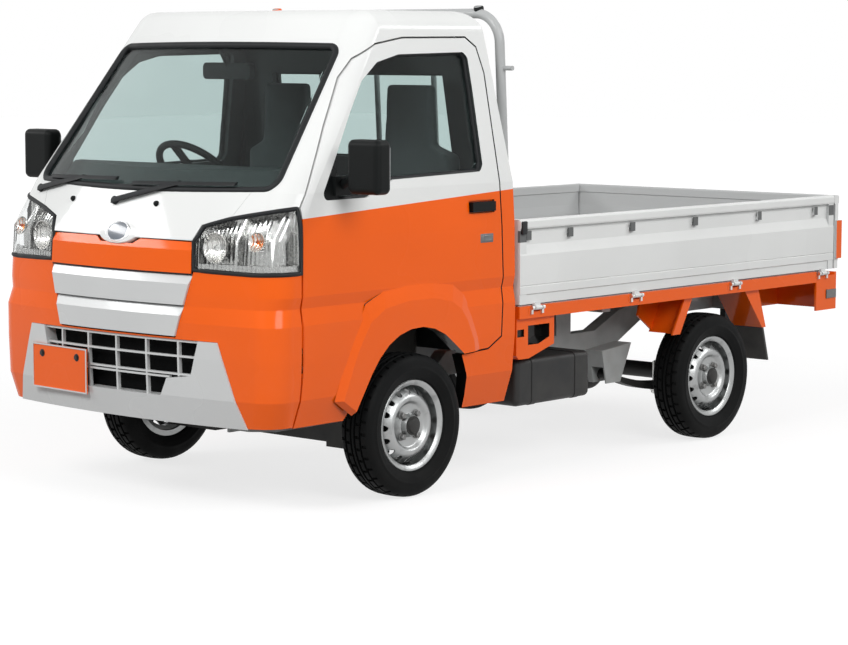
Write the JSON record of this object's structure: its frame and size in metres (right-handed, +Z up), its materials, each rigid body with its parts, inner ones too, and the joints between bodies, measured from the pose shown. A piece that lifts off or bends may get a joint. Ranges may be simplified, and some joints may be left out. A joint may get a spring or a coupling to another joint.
{
  "type": "mini truck",
  "caption": "Small cab-over pickup truck with steered front wheels, swinging cab doors and a flat load bed whose side gates and tailgate fold down.",
  "frame": {"origin": "centre of the footprint of the truck's bounding box, on the ground", "axes": "+Z up, the truck faces -Y, its left side is +X"},
  "size_m": [1.886, 3.6699, 1.803],
  "materials": {
    "paint_white": "gloss coat",
    "paint_orange": "gloss coat",
    "trim_silver": "satin paint",
    "frame_grey": "satin coat",
    "black_metal": "satin coat",
    "cast_metal": "as cast",
    "exhaust_steel": "dull",
    "hinge_steel": "zinc plated",
    "tinted_glass": "tinted",
    "lamp_clear": "clear lens",
    "lamp_red": "lens",
    "black_plastic": "fine grain",
    "dash_plastic": "grained",
    "seat_cloth": "woven",
    "rim_silver": "silver paint",
    "tyre_rubber": "black",
    "flap_rubber": "moulded"
  },
  "bodies": {
    "chassis": {"roof": "paint_white", "a_pillars": "paint_white", "cab_back": "paint_white", "nose_panel": "paint_white", "headboard": "paint_white", "bed_floor": "paint_white", "b_pillars": "paint_orange", "bumper": "paint_orange", "nose_strip": "paint_orange", "bed_sills": "paint_orange", "rear_panel": "paint_orange", "mudguards": "paint_orange", "number_plate": "paint_orange", "bumper_skirt": "trim_silver", "grille_bars": "trim_silver", "frame": "frame_grey", "front_suspension": "frame_grey", "leaf_springs": "frame_grey", "cab_floor": "black_metal", "fuel_tank": "black_metal", "radiator": "black_metal", "drive_shaft": "black_metal", "engine": "cast_metal", "rear_axle": "cast_metal", "exhaust": "exhaust_steel", "gate_hinges": "hinge_steel", "door_hinges": "hinge_steel", "cab_glass": "tinted_glass", "headlamps": "lamp_clear", "tail_lamps": "lamp_red", "wipers": "black_plastic", "inner_mirror": "black_plastic", "steering_column": "black_plastic", "dashboard": "dash_plastic", "seat_cushions": "seat_cloth", "seat_backs": "seat_cloth", "mud_flaps": "flap_rubber"},
    "knuckle_left": {"knuckle_left": "cast_metal"},
    "knuckle_right": {"knuckle_right": "cast_metal"},
    "wheel_front_left": {"rim_front_left": "rim_silver", "tyre_front_left": "tyre_rubber"},
    "wheel_front_right": {"rim_front_right": "rim_silver", "tyre_front_right": "tyre_rubber"},
    "wheel_rear_left": {"rim_rear_left": "rim_silver", "tyre_rear_left": "tyre_rubber"},
    "wheel_rear_right": {"rim_rear_right": "rim_silver", "tyre_rear_right": "tyre_rubber"},
    "steering": {"steering_wheel": "black_plastic"},
    "door_left_body": {"door_left": "paint_orange", "door_glass_left": "tinted_glass", "door_fittings_left": "black_plastic"},
    "door_right_body": {"door_right": "paint_orange", "door_glass_right": "tinted_glass", "door_fittings_right": "black_plastic"},
    "gate_left": {"side_gate_left": "paint_white"},
    "gate_right": {"side_gate_right": "paint_white"},
    "gate_tail": {"tailgate": "paint_white"}
  },
  "joints": [
    {"name": "steer_left", "type": "hinge", "parent": "chassis", "child": "knuckle_left", "pos_m": [0.55, -1.01, 0.3], "axis": [0, 0, 1], "range_deg": [-35, 35]},
    {"name": "steer_right", "type": "hinge", "parent": "chassis", "child": "knuckle_right", "pos_m": [-0.55, -1.01, 0.3], "axis": [0, 0, 1], "range_deg": [-35, 35]},
    {"name": "steering_turn", "type": "hinge", "parent": "chassis", "child": "steering", "pos_m": [-0.33, -1.09, 1.15], "axis": [0, 0.7071, 0.7071], "range_deg": [-600, 600]},
    {"name": "spin_front_left", "type": "hinge", "parent": "knuckle_left", "child": "wheel_front_left", "pos_m": [0.6525, -1.01, 0.266], "axis": [1, 0, 0], "continuous": true},
    {"name": "spin_front_right", "type": "hinge", "parent": "knuckle_right", "child": "wheel_front_right", "pos_m": [-0.6525, -1.01, 0.266], "axis": [1, 0, 0], "continuous": true},
    {"name": "spin_rear_left", "type": "hinge", "parent": "chassis", "child": "wheel_rear_left", "pos_m": [0.6525, 0.89, 0.266], "axis": [1, 0, 0], "continuous": true},
    {"name": "spin_rear_right", "type": "hinge", "parent": "chassis", "child": "wheel_rear_right", "pos_m": [-0.6525, 0.89, 0.266], "axis": [1, 0, 0], "continuous": true},
    {"name": "door_left", "type": "hinge", "parent": "chassis", "child": "door_left_body", "pos_m": [0.715, -1.585, 0.745], "axis": [0, 0, -1], "range_deg": [0, 65]},
    {"name": "door_right", "type": "hinge", "parent": "chassis", "child": "door_right_body", "pos_m": [-0.715, -1.585, 0.745], "axis": [0, 0, 1], "range_deg": [0, 65]},
    {"name": "gate_left_drop", "type": "hinge", "parent": "chassis", "child": "gate_left", "pos_m": [0.741, 0.68, 0.652], "axis": [0, 1, 0], "range_deg": [0, 180]},
    {"name": "gate_right_drop", "type": "hinge", "parent": "chassis", "child": "gate_right", "pos_m": [-0.741, 0.68, 0.652], "axis": [0, -1, 0], "range_deg": [0, 180]},
    {"name": "gate_tail_drop", "type": "hinge", "parent": "chassis", "child": "gate_tail", "pos_m": [0, 1.826, 0.652], "axis": [-1, 0, 0], "range_deg": [0, 180]}
  ],
  "couplings": [
    {"joint": "steer_right", "follows": "steer_left", "ratio": 1},
    {"joint": "steering_turn", "follows": "steer_left", "ratio": 17}
  ]
}
